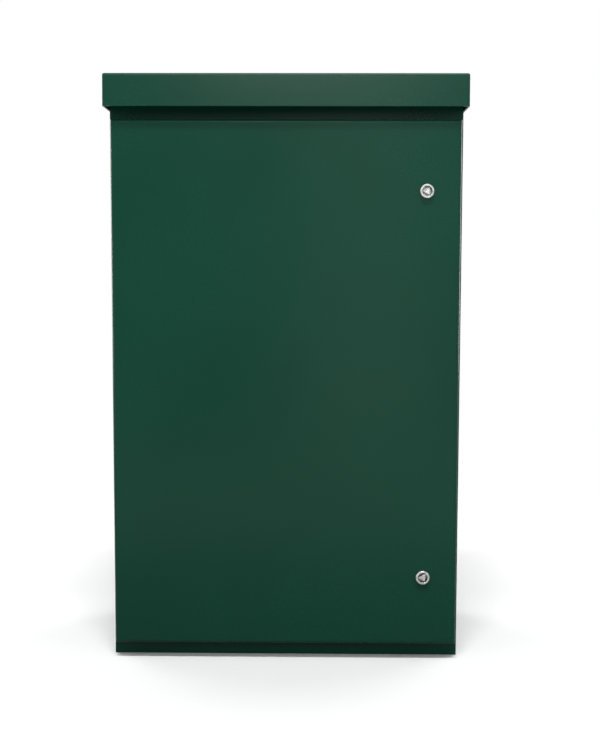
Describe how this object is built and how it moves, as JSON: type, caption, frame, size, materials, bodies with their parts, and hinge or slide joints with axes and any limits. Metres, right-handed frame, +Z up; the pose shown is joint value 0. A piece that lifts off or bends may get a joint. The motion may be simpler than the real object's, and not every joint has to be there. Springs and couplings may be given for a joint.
{
  "type": "roadside utility cabinet",
  "caption": "Green steel roadside cabinet with an overhanging pitched roof, a lay-on door with key locks, a mounting board inside and anchor holes in its base.",
  "frame": {"origin": "on the ground, at the centre of the base's anchor holes, which is the centre of the body", "axes": "+Z up, +X to the right as seen from the front, and the door faces -Y"},
  "size_m": [0.61, 0.3279, 0.9998],
  "materials": {
    "green_powder_coat": "satin dark green powder coat with a fine orange peel",
    "zinc_plate": "bright zinc plate",
    "galvanised_steel": "galvanised sheet",
    "foam_rubber": "closed cell foam rubber",
    "plywood": "sanded plywood",
    "brass": "turned brass"
  },
  "bodies": {
    "cabinet": {"body_wrap": "green_powder_coat", "left_jamb": "green_powder_coat", "right_jamb": "green_powder_coat", "header_rail": "green_powder_coat", "sill_rail": "green_powder_coat", "base_tray": "galvanised_steel", "gland_gasket": "foam_rubber", "gland_plate": "galvanised_steel", "gland_studs": "zinc_plate", "gland_nuts": "zinc_plate", "earth_stud": "brass", "earth_washers": "brass", "earth_nuts": "brass", "roof_frame": "green_powder_coat", "roof_gasket": "foam_rubber", "roof_cover": "green_powder_coat", "roof_weld_nuts": "zinc_plate", "roof_washers": "zinc_plate", "roof_bolts": "zinc_plate", "lower_board_rail": "galvanised_steel", "upper_board_rail": "galvanised_steel", "mounting_board": "plywood", "board_bolts": "zinc_plate", "board_washers": "zinc_plate", "board_nuts": "zinc_plate", "lower_hinge_frame_leaf": "green_powder_coat", "upper_hinge_frame_leaf": "green_powder_coat", "lower_hinge_pin": "zinc_plate", "upper_hinge_pin": "zinc_plate", "hinge_washers": "brass"},
    "door": {"door_panel": "green_powder_coat", "door_stiffener": "green_powder_coat", "door_gasket": "foam_rubber", "lower_hinge_door_leaf": "green_powder_coat", "upper_hinge_door_leaf": "green_powder_coat", "door_earth_stud": "brass", "door_earth_nuts": "brass", "lock_gaskets": "foam_rubber", "lower_lock_housing": "zinc_plate", "upper_lock_housing": "zinc_plate", "lower_lock_nut": "zinc_plate", "upper_lock_nut": "zinc_plate"},
    "lower_lock": {"lower_lock_spindle": "zinc_plate", "lower_lock_cam": "zinc_plate", "lower_cam_washer": "zinc_plate", "lower_cam_bolt": "zinc_plate"},
    "upper_lock": {"upper_lock_spindle": "zinc_plate", "upper_lock_cam": "zinc_plate", "upper_cam_washer": "zinc_plate", "upper_cam_bolt": "zinc_plate"}
  },
  "joints": [
    {"name": "door_hinge", "type": "hinge", "parent": "cabinet", "child": "door", "pos_m": [-0.2865, -0.14893, 0], "axis": [0, 0, -1], "range_deg": [0, 110]},
    {"name": "lower_lock_turn", "type": "hinge", "parent": "door", "child": "lower_lock", "pos_m": [0.237, -0.16523, 0.147], "axis": [0, -1, 0], "range_deg": [0, 90]},
    {"name": "upper_lock_turn", "type": "hinge", "parent": "door", "child": "upper_lock", "pos_m": [0.237, -0.16523, 0.807], "axis": [0, -1, 0], "range_deg": [0, 90]}
  ]
}
